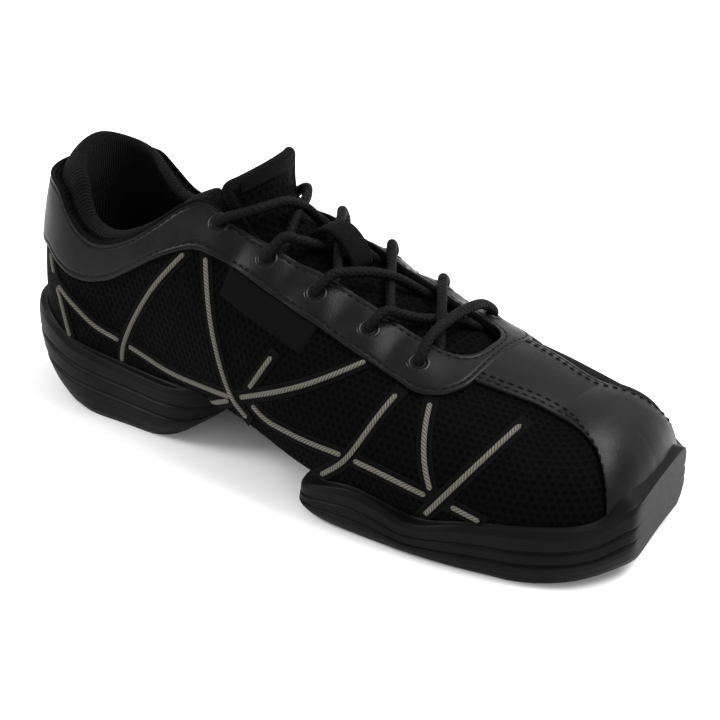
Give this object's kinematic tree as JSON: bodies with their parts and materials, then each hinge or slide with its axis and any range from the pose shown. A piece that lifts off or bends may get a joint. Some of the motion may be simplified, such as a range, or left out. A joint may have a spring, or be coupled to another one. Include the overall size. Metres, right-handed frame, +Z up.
{
  "type": "dance sneaker",
  "caption": "Low laced split-sole dance sneaker for the right foot, open at the collar, with a padded lining, tongue, laces, piping and a spin spot under the ball.",
  "frame": {"origin": "on the floor, at the middle of the heel's flat ground face on the shoe's middle line", "axes": "+X to the toe, +Y to the inner (medial) side, +Z up"},
  "size_m": [0.2628, 0.1039, 0.1016],
  "materials": {
    "sole_rubber": "matte black",
    "insole_cloth": "matte black cloth",
    "mesh": "black open mesh",
    "leather": "semi-gloss black synthetic leather",
    "satin": "plain black satin",
    "lining_knit": "ribbed black knit",
    "lace_cord": "black braided cord",
    "piping_cord": "silver woven cord",
    "eyelet_enamel": "black enamel"
  },
  "bodies": {
    "root": {"sole_heel": "sole_rubber", "sole_forefoot": "sole_rubber", "insole": "insole_cloth", "upper": "mesh", "collar_band": "leather", "toe_leather": "leather", "side_label": "satin", "collar_lining": "lining_knit", "tongue": "mesh", "tongue_label": "satin", "lace_keeper": "satin", "lace_bar": "lace_cord", "lace_cross_1": "lace_cord", "lace_cross_2": "lace_cord", "lace_cross_3": "lace_cord", "lace_cross_4": "lace_cord", "piping_lateral": "piping_cord", "piping_medial": "piping_cord", "eyelet_lateral_1": "eyelet_enamel", "eyelet_lateral_2": "eyelet_enamel", "eyelet_lateral_3": "eyelet_enamel", "eyelet_lateral_4": "eyelet_enamel", "eyelet_lateral_5": "eyelet_enamel", "eyelet_medial_1": "eyelet_enamel", "eyelet_medial_2": "eyelet_enamel", "eyelet_medial_3": "eyelet_enamel", "eyelet_medial_4": "eyelet_enamel", "eyelet_medial_5": "eyelet_enamel"}
  },
  "joints": []
}
